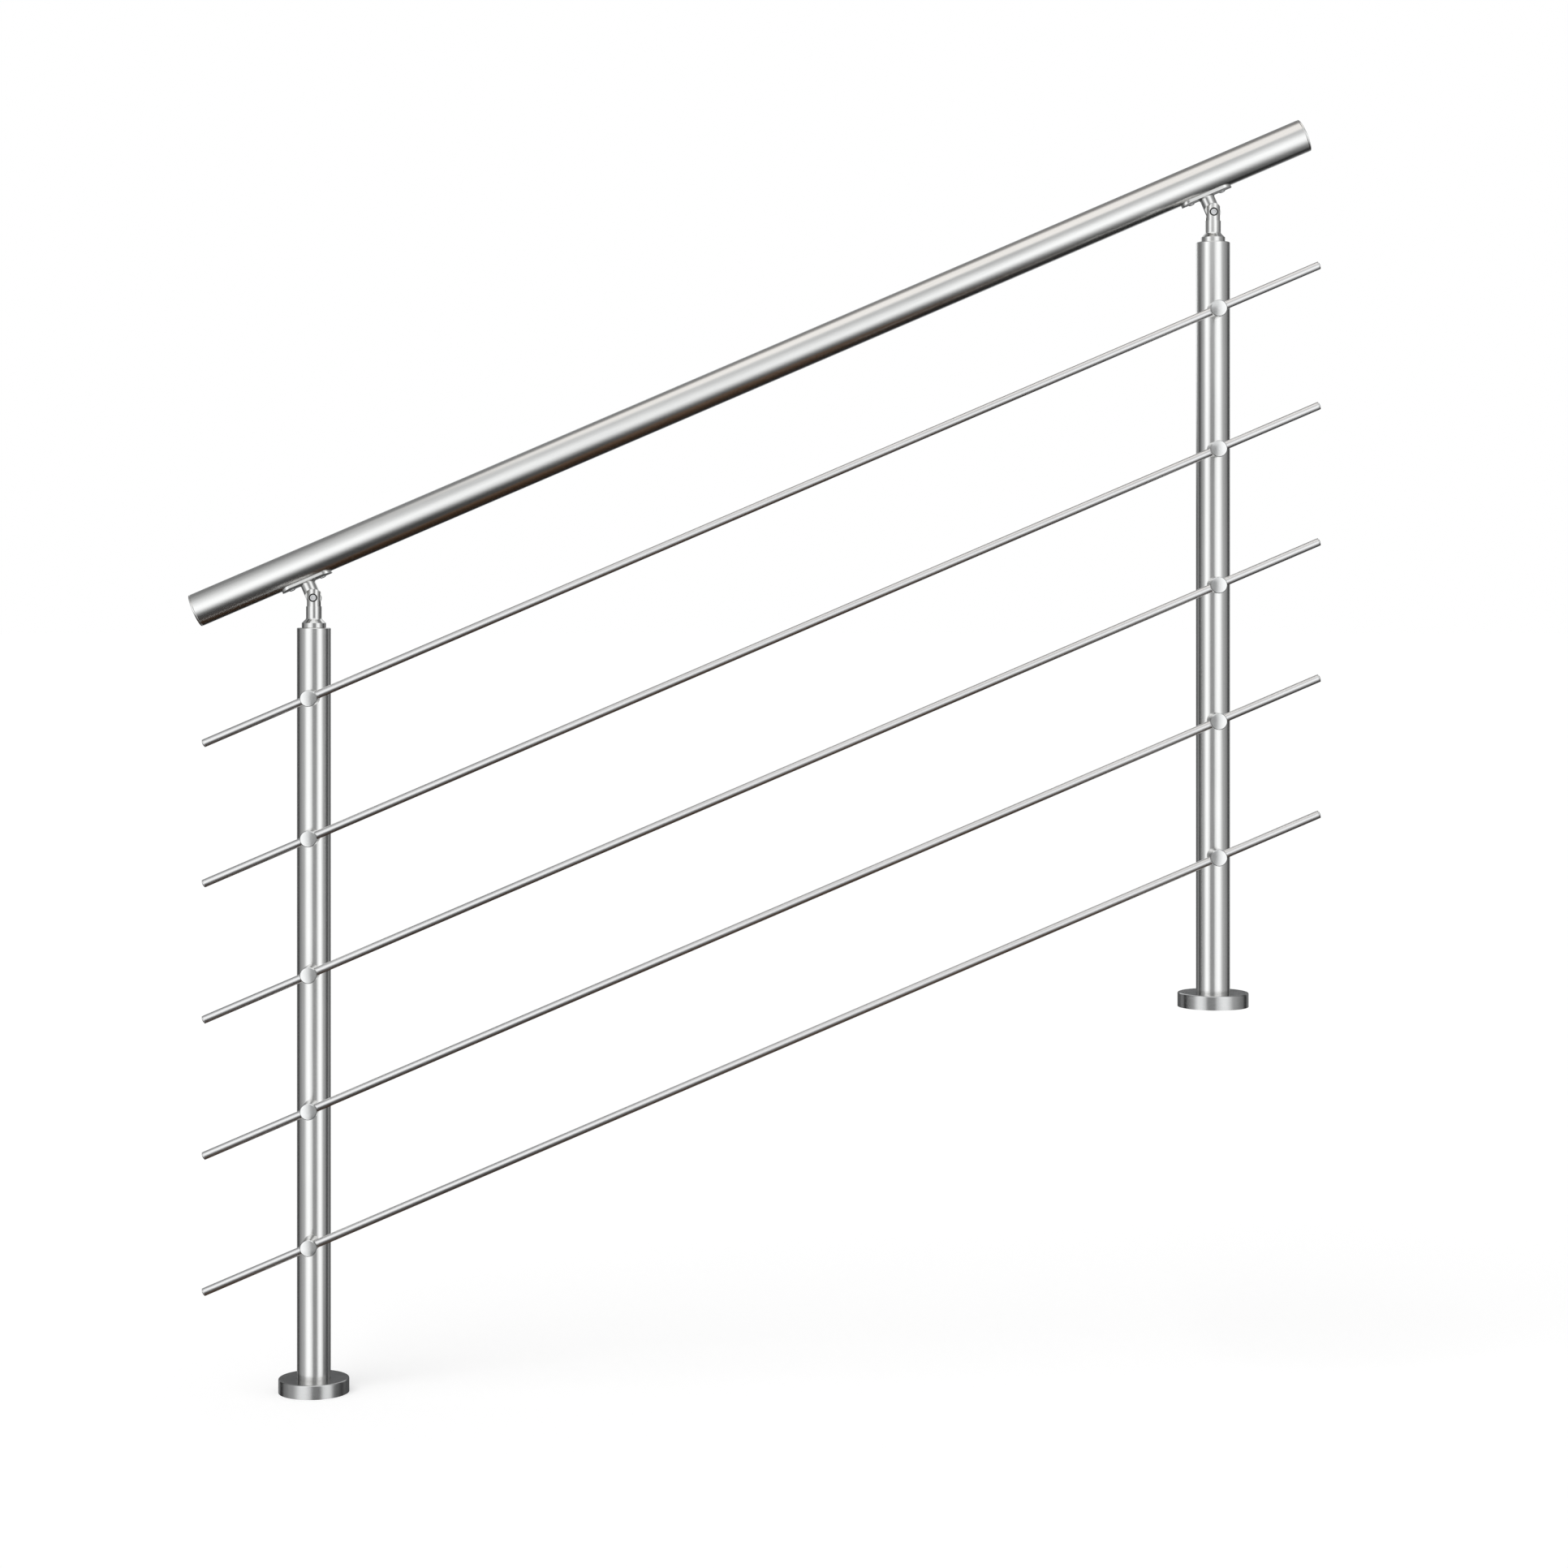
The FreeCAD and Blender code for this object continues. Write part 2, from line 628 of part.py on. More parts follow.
for step, height in enumerate(bar_heights, start=1):
    label = f"crossbar_{step}"
    sloped_tube(f"{label}_tube", "bar_diameter / 2", BAR_INSIDE,
                "bar_length - 2 * (bar_cap_rim + bar_cap_dome)", height, BAR_MIDDLE, "0",
                "0 - bar_offset")
    compound(f"{label}_caps", [
        bar_cap(f"{label}_lower_cap", height, True),
        bar_cap(f"{label}_upper_cap", height, False),
    ])
    bar_holder(f"{label}_lower_holder", height, "0")
    bar_holder(f"{label}_upper_holder", height, "pivot_spacing")

sheet.clear(CALCULATOR)
doc.recompute()

for item in doc.Objects:
    if "Invalid" in item.State or "Error" in item.State:
        raise RuntimeError(f"{item.Label} is {item.State}")
for piece in NODES:
    if piece.Shape.isNull() or not piece.Shape.isValid() or not piece.Shape.Solids:
        raise RuntimeError(f"{piece.Label} has no valid solid")

os.makedirs("parts", exist_ok=True)
for piece in NODES:
    piece.Shape.exportStep(f"parts/{piece.Label}.step")
    print(f"{piece.Label}: {len(piece.Shape.Solids)} solid, {piece.Shape.Volume:.1f} cubic mm")
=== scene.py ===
import json
import math

import bmesh
import bpy
from mathutils import Matrix, Vector


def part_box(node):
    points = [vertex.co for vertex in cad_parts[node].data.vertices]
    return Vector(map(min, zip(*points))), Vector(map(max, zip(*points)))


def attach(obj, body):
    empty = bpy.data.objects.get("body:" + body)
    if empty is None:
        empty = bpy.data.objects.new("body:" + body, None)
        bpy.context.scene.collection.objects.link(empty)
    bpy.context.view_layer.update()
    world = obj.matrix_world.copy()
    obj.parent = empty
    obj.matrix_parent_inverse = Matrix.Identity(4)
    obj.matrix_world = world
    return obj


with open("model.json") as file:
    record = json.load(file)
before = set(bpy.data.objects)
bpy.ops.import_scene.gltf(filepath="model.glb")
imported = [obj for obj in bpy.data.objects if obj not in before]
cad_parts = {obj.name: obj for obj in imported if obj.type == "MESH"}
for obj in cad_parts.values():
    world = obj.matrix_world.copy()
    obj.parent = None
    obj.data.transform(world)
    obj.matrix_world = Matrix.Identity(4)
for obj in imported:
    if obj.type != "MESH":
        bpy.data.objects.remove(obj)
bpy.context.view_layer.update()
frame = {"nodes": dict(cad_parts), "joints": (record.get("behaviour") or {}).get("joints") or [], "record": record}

# A stair balustrade panel of brushed stainless steel. Lengths are in metres. X runs level towards
# the upper post, Z is up, and the crossbars and the camera are on the minus Y side.

JOINTS = {joint["name"]: Vector(joint["pos_m"]) for joint in frame["joints"]}
LOWER_PIVOT = JOINTS["slope"]
UPPER_PIVOT = JOINTS["upper_knuckle"]
SLOPE = math.atan2(UPPER_PIVOT.z - LOWER_PIVOT.z, UPPER_PIVOT.x - LOWER_PIVOT.x)
SLOT_COLOURS = {entry["slot"]: entry["base_color"] for entry in frame["record"]["materials"]}

# The saddle screws, and the parts of the bracket that they sit in.
RAIL_OFFSET = 0.0432
RAIL_RADIUS = 0.021
SADDLE_THICKNESS = 0.003
SADDLE_SCREW_SPACING = 0.0415
SCREW_HEAD_RADIUS = 0.0039
SCREW_HEAD_RISE = 0.0013
SCREW_HEAD_FULLNESS = 0.9
SCREW_RIM_RISE = 0.00005
SCREW_RIM_DROP = 0.0001
SCREW_SHANK_RADIUS = 0.002
SCREW_END_GAP = 0.0002
SCREW_SOFT_EDGE = 0.00008
SCREW_SEGMENTS = 40
DOME_STEPS = 8
CROSS_LENGTH = 0.0046
CROSS_WIDTH = 0.0009
CROSS_DEPTH = 0.0018
CROSS_TAPER = 0.35
CUTTER_RISE = 0.00065
SCREW_TWISTS = {"downhill": 0.35, "uphill": 1.0}

# The steel's finish: how much the wear darkens, lightens, dulls and shines it.
LINE_WEIGHT = 0.55
CLOUD_WEIGHT = 0.45
WEAR_SPAN = (0.38, 0.62)
GLOSS_SPAN = (0.35, 0.65)
DARKEST = 0.955
LIGHTEST = 1.035
GLOSSIEST = 0.86
DULLEST = 1.14
CLOUD_STRETCH = 0.3
TURNED_LINE_SWAY = 1.5
BRUSH_DEPTH = 6e-6
FINE_DEPTH = 3e-6
BAR_BRUSH_DEPTH = 1.5e-6

# The holders' domed faces, and the painted shade in the gap round each pivot screw.
HOLDER_DOME_RADIUS = 0.09
COUNTERBORE_RADIUS = 0.0051
SCREW_RIM_RADIUS = 0.0038
PAINTED_SHADE_EDGE = 0.0003
# A dark colour and a dull roughness, painted in as shade in the counterbore and at the screw head's rim.
PAINTED_SHADE_COLOUR = (0.05, 0.048, 0.045, 1)
PAINTED_SHADE_ROUGHNESS = 0.6

# The camera, in the photograph's pixels and in metres.
PHOTO_SIZE = 1932
FOCAL_LENGTH_PX = 4096
PRINCIPAL_POINT_PX = (930.3, 717)
CAMERA_PLACE = (0.5502, -4.146, 1.0097)
SENSOR_WIDTH = 36.0

# The world, the floor and the lamp.
WHITE = 1.0
EVEN_LIGHT = 0.55
FLOOR_COLOUR = 0.8
FLOOR_GLOW = 0.41
FLOOR_HALF = 60.0
LAMP_ANGLE = math.radians(35)
LAMP_STRENGTH = 0.8
LAMP_AIM = (1.3, 2.0, -3.3)

# The two light tents and the colours of their light.
TENT_HEIGHT = 1.0
INNER_TENT_RADIUS = 2.43
OUTER_TENT_RADIUS = 2.5
TENT_SEGMENTS = (96, 48)
DAYLIGHT = (0.978, 1.0, 1.022, 1)
WARM_CEILING = (1.02, 1.0, 0.985, 1)
WARM_FLOOR = (1.7, 1.0, 0.6, 1)

# What the posts, bases and fittings reflect. Each panel has a level and an edge, over which the
# light passes to it. Edges are in degrees, to either side of the front or above the horizon, or in
# shares of the way to the back where they are named so.
GAP = 0.37
HIGH_GAP = 0.92
SOFTBOX_RIM = 1.0
SOFTBOX_RIM_EDGE = (12, 20)
SOFTBOX = 1.38
SOFTBOX_EDGE = (20, 36)
SIDE_WALL = 0.5
SIDE_WALL_EDGE = (46, 72)
BACK_WALL = 0.28
BACK_WALL_EDGE = (72, 98)
REAR_SOFTBOX = 1.1
REAR_SOFTBOX_EDGE = (150, 157)
REAR_GAP = 0.55
REAR_GAP_EDGE = (171, 180)
BLACK_FLAG = 0.05
FLAG_NEAR_EDGE = (98, 110)
FLAG_FAR_EDGE = (126, 120)
UPPER_WALL_EDGE = (12, 20)
CEILING = 1.22
CEILING_EDGE = (46, 54)
BEHIND_CEILING = 0.25
BEHIND_CEILING_BACK_SHARE = (0.05, 0.22)
LOW_BACK = 0.14
LOW_BACK_EDGE = (141, 150)
LOW_BACK_TOP = (12, 3)
LOW_GAP = 0.16
LOW_SOFTBOX = 1.1
LOW_SOFTBOX_EDGE = (12, 28)
LOW_SIDE_EDGE = (48, 78)
LOW_WALL_TOP = (-41, -34)
FRONT_FLOOR = 0.4
REAR_FLOOR = 0.08
REAR_FLOOR_BACK_SHARE = (-0.25, -0.05)
FLOOR_EDGE = (-72, -60)

# What the handrail and the crossbars reflect, in the same units.
WIDE_SOFTBOX = 1.17
WIDE_SOFTBOX_RISE = (-60, -2)
WIDE_SOFTBOX_TOP = 0.62
WIDE_SOFTBOX_FALL = (5, 47)
MIDDLE_SHARE = 0.94
OUTER_SHARE = 1.18
OUTER_EDGE = (4, 24)
SIDE_SHARE = 0.7
SIDE_EDGE = (48, 90)
WARM_PANEL = 1.13
WARM_PANEL_EDGE = (50, 60)
DARK_FLOOR = 0.06
BACK_SHARE = (-0.04, 0.34)
REAR_PANEL = 1.0
REAR_PANEL_BACK_SHARE = (0.74, 0.88)
REAR_WALL = 0.27
REAR_DARK = 0.02
REAR_WALL_RISE = (-30, 0)
WARM_FLOOR_TOP = (-46, -54)
WARM_FLOOR_EDGE = (22, 44)


class Graph:
    """Adds nodes to one node tree and links them."""

    def __init__(self, tree):
        self.tree = tree
        tree.nodes.clear()

    def add(self, kind, inputs=None, **settings):
        made = self.tree.nodes.new(kind)
        for name, value in settings.items():
            setattr(made, name, value)
        for name, value in (inputs or {}).items():
            self.feed(made.inputs[name], value)
        return made

    def feed(self, socket, value):
        if isinstance(value, bpy.types.NodeSocket):
            self.tree.links.new(value, socket)
        else:
            socket.default_value = value

    def math(self, operation, *values):
        made = self.add("ShaderNodeMath", operation=operation)
        for socket, value in zip(made.inputs, values):
            self.feed(socket, value)
        return made.outputs[0]

    def span(self, value, low, high, start=0.0, end=1.0):
        """A value's way from low to high, as a share from start to end, held at both ends."""
        made = self.add("ShaderNodeMapRange", interpolation_type="SMOOTHSTEP")
        for socket, number in zip(made.inputs, (value, low, high, start, end)):
            self.feed(socket, number)
        return made.outputs[0]

    def mix(self, share, first, second):
        """A number between two numbers."""
        made = self.add("ShaderNodeMix", data_type="FLOAT")
        for name, value in (("Factor", share), ("A", first), ("B", second)):
            self.feed(made.inputs[name], value)
        return made.outputs["Result"]

    def blend(self, share, first, second):
        """A colour between two colours."""
        made = self.add("ShaderNodeMixRGB")
        for name, value in (("Fac", share), ("Color1", first), ("Color2", second)):
            self.feed(made.inputs[name], value)
        return made.outputs["Color"]


def grey(level):
    return (level, level, level, 1)


def tinted(colour, share):
    return (colour[0] * share, colour[1] * share, colour[2] * share, 1)


def steel(name, colour, roughness, grain, grain_depth=BRUSH_DEPTH, painted_shade=None, crown=None):
    """Brushed stainless steel. The grain is a function that gives the two places that the brush lines and the slow
    cloud of wear are read from. The painted shade is a function that gives the share of a dark, dull colour
    painted in as shade round a pivot screw, and the crown one that gives the height of a domed face."""
    material = bpy.data.materials.new(name)
    material.use_nodes = True
    graph = Graph(material.node_tree)
    lines_place, cloud_place = grain(graph)
    lines = graph.add("ShaderNodeTexNoise", {
        "Vector": lines_place, "Scale": 1.0, "Detail": 4.0, "Roughness": 0.6,
    }).outputs["Fac"]
    cloud = graph.add("ShaderNodeTexNoise", {
        "Vector": cloud_place, "Scale": 1.0, "Detail": 3.0, "Roughness": 0.5,
    }).outputs["Fac"]
    wear = graph.math("ADD", graph.math("MULTIPLY", lines, LINE_WEIGHT),
                      graph.math("MULTIPLY", cloud, CLOUD_WEIGHT))
    share = graph.span(wear, *WEAR_SPAN)
    colour_out = graph.blend(share, tinted(colour, DARKEST), tinted(colour, LIGHTEST))
    gloss = graph.span(wear, *GLOSS_SPAN, roughness * GLOSSIEST, roughness * DULLEST)
    # Painted shade: a dark colour and a dull roughness are blended in where shade falls round a pivot screw.
    if painted_shade:
        shade_share = painted_shade(graph)
        colour_out = graph.blend(shade_share, colour_out, PAINTED_SHADE_COLOUR)
        gloss = graph.mix(shade_share, gloss, PAINTED_SHADE_ROUGHNESS)
    bump = graph.add("ShaderNodeBump", {
        "Height": lines, "Strength": 1.0, "Distance": grain_depth,
    })
    if crown:
        dome = graph.add("ShaderNodeBump", {
            "Height": crown(graph), "Strength": 1.0, "Distance": 1.0,
        })
        graph.feed(bump.inputs["Normal"], dome.outputs["Normal"])
    shader = graph.add("ShaderNodeBsdfPrincipled", {
        "Base Color": colour_out,
        "Metallic": 1.0,
        "Roughness": gloss,
        "Normal": bump.outputs["Normal"],
    })
    output = graph.add("ShaderNodeOutputMaterial")
    graph.feed(output.inputs["Surface"], shader.outputs["BSDF"])
    return material


def grain_along(tilt, line_width=0.00035, line_length=0.03, cloud_size=0.05):
    """Brush lines along a tube that is tilted up from the X axis by an angle."""
    def place(graph):
        own = graph.add("ShaderNodeTexCoord").outputs["Object"]
        turned = graph.add("ShaderNodeMapping", {"Vector": own, "Rotation": (0, tilt, 0)})
        straight = turned.outputs["Vector"]
        lines = graph.add("ShaderNodeMapping", {
            "Vector": straight,
            "Scale": (1 / line_length, 1 / line_width, 1 / line_width),
        })
        cloud = graph.add("ShaderNodeMapping", {
            "Vector": straight,
            "Scale": (CLOUD_STRETCH / cloud_size, 1 / cloud_size, 1 / cloud_size),
        })
        return lines.outputs["Vector"], cloud.outputs["Vector"]
    return place


def grain_turned(node_name, axis, line_width=0.0003, cloud_size=0.02):
    """Fine lathe lines round an axis through the middle of a node's box."""
    low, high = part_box(node_name)
    size = high - low

    def place(graph):
        own = graph.add("ShaderNodeTexCoord").outputs["Generated"]
        centred = graph.add("ShaderNodeMapping", {
            "Vector": own,
            "Location": tuple(-length / 2 for length in size),
            "Scale": tuple(size),
        }).outputs["Vector"]
        parts = graph.add("ShaderNodeSeparateXYZ", {"Vector": centred}).outputs
        across = [parts[name] for name in "XYZ" if name != axis]
        squares = graph.math("ADD", graph.math("MULTIPLY", across[0], across[0]),
                             graph.math("MULTIPLY", across[1], across[1]))
        radius = graph.math("SQRT", squares)
        angle = graph.math("ARCTAN2", across[0], across[1])
        lines = graph.add("ShaderNodeCombineXYZ", {
            "X": graph.math("DIVIDE", radius, line_width),
            "Y": graph.math("MULTIPLY", angle, TURNED_LINE_SWAY),
            "Z": graph.math("DIVIDE", parts[axis], line_width),
        })
        cloud = graph.add("ShaderNodeMapping", {
            "Vector": centred,
            "Scale": (1 / cloud_size,) * 3,
        })
        return lines.outputs["Vector"], cloud.outputs["Vector"]
    return place


def grain_even(size=0.0006, cloud_size=0.015):
    """The fine, even grain of a cast and blasted fitting."""
    def place(graph):
        own = graph.add("ShaderNodeTexCoord").outputs["Object"]
        fine = graph.add("ShaderNodeMapping", {"Vector": own, "Scale": (1 / size,) * 3})
        cloud = graph.add("ShaderNodeMapping", {"Vector": own, "Scale": (1 / cloud_size,) * 3})
        return fine.outputs["Vector"], cloud.outputs["Vector"]
    return place


def squared_distance(graph, node_name, above_middle=0.0):
    """The square of the distance from an axis along Y, through the middle of a node's box or at a
    height above it."""
    low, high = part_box(node_name)
    size = high - low
    own = graph.add("ShaderNodeTexCoord").outputs["Generated"]
    offset = (-size.x / 2, 0, -size.z / 2 - above_middle)
    centred = graph.add("ShaderNodeMapping", {
        "Vector": own, "Location": offset, "Scale": tuple(size),
    })
    parts = graph.add("ShaderNodeSeparateXYZ", {"Vector": centred.outputs["Vector"]}).outputs
    return graph.math("ADD", graph.math("MULTIPLY", parts["X"], parts["X"]),
                      graph.math("MULTIPLY", parts["Z"], parts["Z"]))


def domed(node_name, dome_radius):
    """The height of a slightly domed round face, which is 0 in its middle and less towards its
    rim."""
    def height(graph):
        return graph.math("MULTIPLY", squared_distance(graph, node_name), -0.5 / dome_radius)
    return height


def painted_gap_shade(node_name, above_middle, inner, outer, outside):
    """The share of painted shade by the distance from a pivot screw's axis: all outside a ring, or all inside it.
    It darkens the recess and gap round the screw, where shade falls."""
    def share(graph):
        distance = graph.math("SQRT", squared_distance(graph, node_name, above_middle))
        if outside:
            return graph.span(distance, inner, outer)
        return graph.span(distance, inner, outer, 1, 0)
    return share


def dress_nodes():
    """Give every CAD node its finish, by the first ending that fits its name."""
    upright = -math.pi / 2
    low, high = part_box("lower_fork_stem")
    pivot_above = LOWER_PIVOT.z - (low.z + high.z) / 2
    finishes = {
        "post": steel("post_steel", SLOT_COLOURS["brushed_tube"], 0.19, grain_along(upright)),
        "rail": steel("handrail_steel", SLOT_COLOURS["brushed_tube"], 0.22, grain_along(SLOPE)),
        "bar": steel("crossbar_steel", SLOT_COLOURS["brushed_bar"], 0.33,
                     grain_along(SLOPE, line_width=0.0002, line_length=0.02), BAR_BRUSH_DEPTH),
        "bracket": steel("bracket_steel", SLOT_COLOURS["cast_fitting"], 0.17, grain_even(),
                         FINE_DEPTH),
        # The stem gets painted shade: its colour darkens inside the counterbore round the pivot screw.
        "stem": steel("stem_steel", SLOT_COLOURS["cast_fitting"], 0.15,
                      grain_turned("lower_fork_stem", "Z"),
                      painted_shade=painted_gap_shade("lower_fork_stem", pivot_above, COUNTERBORE_RADIUS,
                                        COUNTERBORE_RADIUS + PAINTED_SHADE_EDGE, outside=False)),
        "post_cap": steel("post_cap_steel", SLOT_COLOURS["cast_fitting"], 0.24,
                          grain_turned("lower_post_cap", "Z")),
        "rail_cap": steel("handrail_cap_steel", SLOT_COLOURS["brushed_tube"], 0.24,
                          grain_even(0.0004)),
        "bar_cap": steel("crossbar_cap_steel", SLOT_COLOURS["brushed_bar"], 0.24,
                         grain_even(0.0003)),
        "cover": steel("base_cover_steel", SLOT_COLOURS["base_fitting"], 0.2,
                       grain_turned("lower_base_cover", "Z", line_width=0.0004)),
        "plate": steel("base_plate_steel", SLOT_COLOURS["base_fitting"], 0.4, grain_even()),
        "holder": steel("holder_steel", SLOT_COLOURS["holder_fitting"], 0.22,
                        grain_turned("crossbar_1_lower_holder", "Y"), FINE_DEPTH,
                        crown=domed("crossbar_1_lower_holder", HOLDER_DOME_RADIUS)),
        "seat": steel("holder_seat_steel", SLOT_COLOURS["holder_fitting"], 0.26, grain_even()),
        "saddle_screw": steel("saddle_screw_steel", SLOT_COLOURS["screw_steel"], 0.2,
                              grain_even(0.0003)),
        # The pivot screw gets painted shade: its colour darkens at the head's rim, in the gap to the counterbore.
        "screw": steel("screw_steel", SLOT_COLOURS["screw_steel"], 0.2,
                       grain_turned("lower_pivot_screw", "Y", line_width=0.00015),
                       painted_shade=painted_gap_shade("lower_pivot_screw", 0, SCREW_RIM_RADIUS - PAINTED_SHADE_EDGE,
                                         SCREW_RIM_RADIUS, outside=True)),
    }
    endings = (
        ("post_tube", "post"), ("handrail_tube", "rail"), ("_tube", "bar"),
        ("rail_bracket", "bracket"), ("fork_stem", "stem"), ("post_cap", "post_cap"),
        ("_caps", "bar_cap"), ("_cap", "rail_cap"), ("base_cover", "cover"),
        ("base_plate", "plate"), ("holder_seats", "seat"), ("_holder", "holder"),
        ("pivot_screw", "screw"),
    )
    for name, piece in frame["nodes"].items():
        finish = next(key for ending, key in endings if name.endswith(ending))
        piece.data.materials.clear()
        piece.data.materials.append(finishes[finish])
    return finishes


def lathe(profile, segments):
    """A mesh turned round the Z axis from (radius, height) points that start and end on the axis."""
    shape = bmesh.new()
    rings = []
    for radius, height in profile:
        if radius == 0:
            rings.append([shape.verts.new((0, 0, height))])
            continue
        ring = []
        for step in range(segments):
            angle = 2 * math.pi * step / segments
            place = (radius * math.cos(angle), radius * math.sin(angle), height)
            ring.append(shape.verts.new(place))
        rings.append(ring)
    for inner, outer in zip(rings, rings[1:]):
        for step in range(segments):
            after = (step + 1) % segments
            corners = [inner[step % len(inner)], outer[step % len(outer)],
                       outer[after % len(outer)], inner[after % len(inner)]]
            shape.faces.new(list(dict.fromkeys(corners)))
    bmesh.ops.recalc_face_normals(shape, faces=shape.faces)
    return shape


def tapered_cross(length, width, depth, top):
    """A solid cross that narrows downwards, for cutting a recess. Its top is above the head."""
    shape = bmesh.new()
    for turn in (0, math.pi / 2):
        made = bmesh.ops.create_cube(shape, size=1)
        for corner in made["verts"]:
            low = corner.co.z < 0
            taper = CROSS_TAPER if low else 1.0
            height = top - depth if low else top
            corner.co = Vector((corner.co.x * length * taper, corner.co.y * width, height))
            corner.co.rotate(Matrix.Rotation(turn, 3, "Z"))
    return shape


def as_object(shape, name):
    mesh = bpy.data.meshes.new(name)
    shape.to_mesh(mesh)
    shape.free()
    piece = bpy.data.objects.new(name, mesh)
    bpy.context.scene.collection.objects.link(piece)
    return piece


def screw_mesh():
    """A raised countersunk screw head with a cross recess. Its zero height is the saddle's face."""
    dome = [(0, SCREW_HEAD_RISE)]
    for step in range(1, DOME_STEPS):
        turn = step / DOME_STEPS * math.pi / 2
        dome.append((SCREW_HEAD_RADIUS * math.sin(turn),
                     SCREW_HEAD_RISE * math.cos(turn) ** SCREW_HEAD_FULLNESS))
    cone_end = SCREW_SHANK_RADIUS - SCREW_HEAD_RADIUS - SCREW_RIM_DROP
    shank_end = SCREW_END_GAP - SADDLE_THICKNESS
    profile = dome + [
        (SCREW_HEAD_RADIUS, SCREW_RIM_RISE),
        (SCREW_HEAD_RADIUS, -SCREW_RIM_DROP),
        (SCREW_SHANK_RADIUS, cone_end),
        (SCREW_SHANK_RADIUS, shank_end),
        (0, shank_end),
    ]
    head = as_object(lathe(profile, SCREW_SEGMENTS), "screw_head")
    cross = tapered_cross(CROSS_LENGTH, CROSS_WIDTH, CROSS_DEPTH + CUTTER_RISE,
                          SCREW_HEAD_RISE + CUTTER_RISE)
    cutter = as_object(cross, "cross_cutter")
    joined = head.modifiers.new("recess", "BOOLEAN")
    joined.object = cutter
    joined.operation = "DIFFERENCE"
    joined.solver = "EXACT"
    joined.use_self = True
    soft = head.modifiers.new("soft_edges", "BEVEL")
    soft.width = SCREW_SOFT_EDGE
    soft.segments = 2
    soft.limit_method = "ANGLE"
    soft.angle_limit = math.radians(40)
    bpy.context.view_layer.update()
    made = head.evaluated_get(bpy.context.evaluated_depsgraph_get())
    mesh = bpy.data.meshes.new_from_object(made)
    for face in mesh.polygons:
        face.use_smooth = True
    mesh.set_sharp_from_angle(angle=math.radians(35))
    bpy.data.objects.remove(head)
    bpy.data.objects.remove(cutter)
    return mesh


def add_saddle_screws(finish):
    """Two screws in the saddle of each of the handrail's brackets."""
    mesh = screw_mesh()
    mesh.materials.append(finish)
    along = Vector((math.cos(SLOPE), 0, math.sin(SLOPE)))
    above = Vector((-math.sin(SLOPE), 0, math.cos(SLOPE)))
    down = Matrix((along, Vector((0, -1, 0)), -above)).transposed()
    face_height = RAIL_OFFSET - RAIL_RADIUS - SADDLE_THICKNESS
    for post, pivot in (("lower", LOWER_PIVOT), ("upper", UPPER_PIVOT)):
        for side, sign in (("downhill", -1), ("uphill", 1)):
            screw = bpy.data.objects.new(f"{post}_{side}_saddle_screw", mesh)
            bpy.context.scene.collection.objects.link(screw)
            place = pivot + along * (sign * SADDLE_SCREW_SPACING / 2) + above * face_height
            turn = down.to_4x4() @ Matrix.Rotation(SCREW_TWISTS[side], 4, "Z")
            screw.matrix_world = Matrix.Translation(place) @ turn
            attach(screw, "handrail")


class Tent:
    """Places on a round tent, as seen from its middle: the share of the way to the back, the
    degrees to either side of the front, and the degrees above the horizon."""

    def __init__(self, graph):
        place = graph.add("ShaderNodeTexCoord").outputs["Object"]
        outward = graph.add("ShaderNodeVectorMath", {"Vector": place}, operation="NORMALIZE")
        parts = graph.add("ShaderNodeSeparateXYZ", {"Vector": outward.outputs["Vector"]}).outputs
        self.north = parts["Y"]
        toward = graph.math("MULTIPLY", self.north, -1.0)
        turn = graph.math("DEGREES", graph.math("ARCTAN2", parts["X"], toward))
        self.bearing = graph.math("ABSOLUTE", turn)
        self.height = graph.math("DEGREES", graph.math("ARCSINE", parts["Z"]))


def side_lights(graph, bearing, gap):
    """From the front round to the back: a gap, a softbox with a softer inner edge, a side wall, the
    back wall and a rear softbox."""
    level = graph.mix(graph.span(bearing, *SOFTBOX_RIM_EDGE), gap, SOFTBOX_RIM)
    level = graph.mix(graph.span(bearing, *SOFTBOX_EDGE), level, SOFTBOX)
    level = graph.mix(graph.span(bearing, *SIDE_WALL_EDGE), level, SIDE_WALL)
    level = graph.mix(graph.span(bearing, *BACK_WALL_EDGE), level, BACK_WALL)
    level = graph.mix(graph.span(bearing, *REAR_SOFTBOX_EDGE), level, REAR_SOFTBOX)
    return graph.mix(graph.span(bearing, *REAR_GAP_EDGE), level, REAR_GAP)


